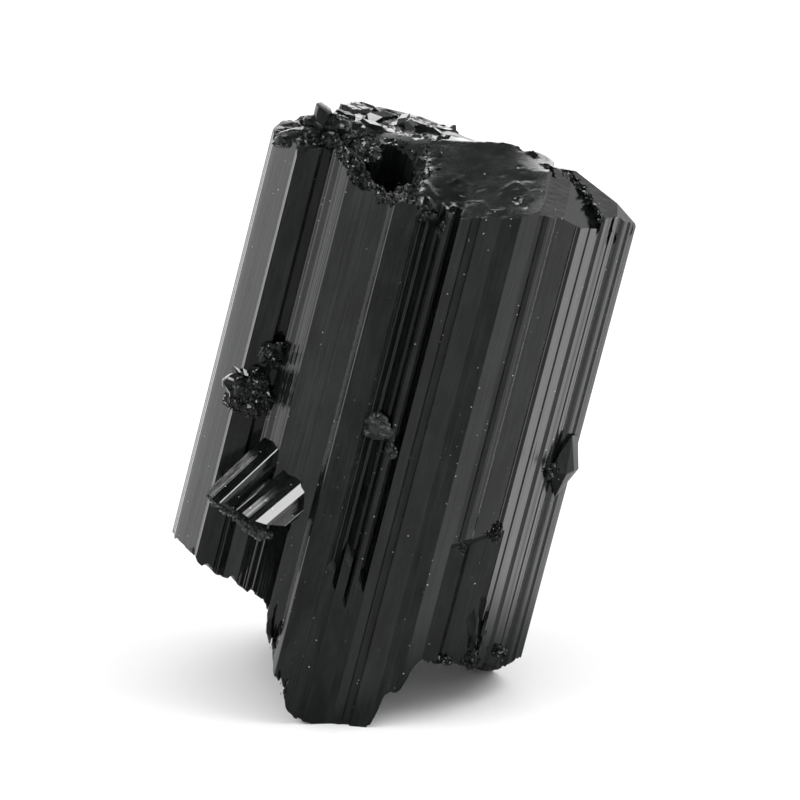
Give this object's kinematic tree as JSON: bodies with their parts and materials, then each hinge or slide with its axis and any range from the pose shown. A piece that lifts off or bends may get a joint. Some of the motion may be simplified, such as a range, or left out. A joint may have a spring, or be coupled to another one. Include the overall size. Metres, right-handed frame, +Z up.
{
  "type": "tourmaline crystal",
  "caption": "Black schorl tourmaline specimen: striated columns grown side by side, leaning on their broken ends, with small perched crystals and a rough top.",
  "frame": {"origin": "on the supporting surface, under the middle of the specimen's bounding box", "axes": "+Z up; the broad striated front faces -Y; +X to the right, the way the crystal's long axis leans by about 14 degrees"},
  "size_m": [0.047, 0.0295, 0.0626],
  "materials": {
    "black_schorl": "glossy black crystal faces with fine lengthwise striations, duller where broken, crumbly or pitted"
  },
  "bodies": {
    "root": {"tourmaline_crystal": "black_schorl"}
  },
  "joints": []
}
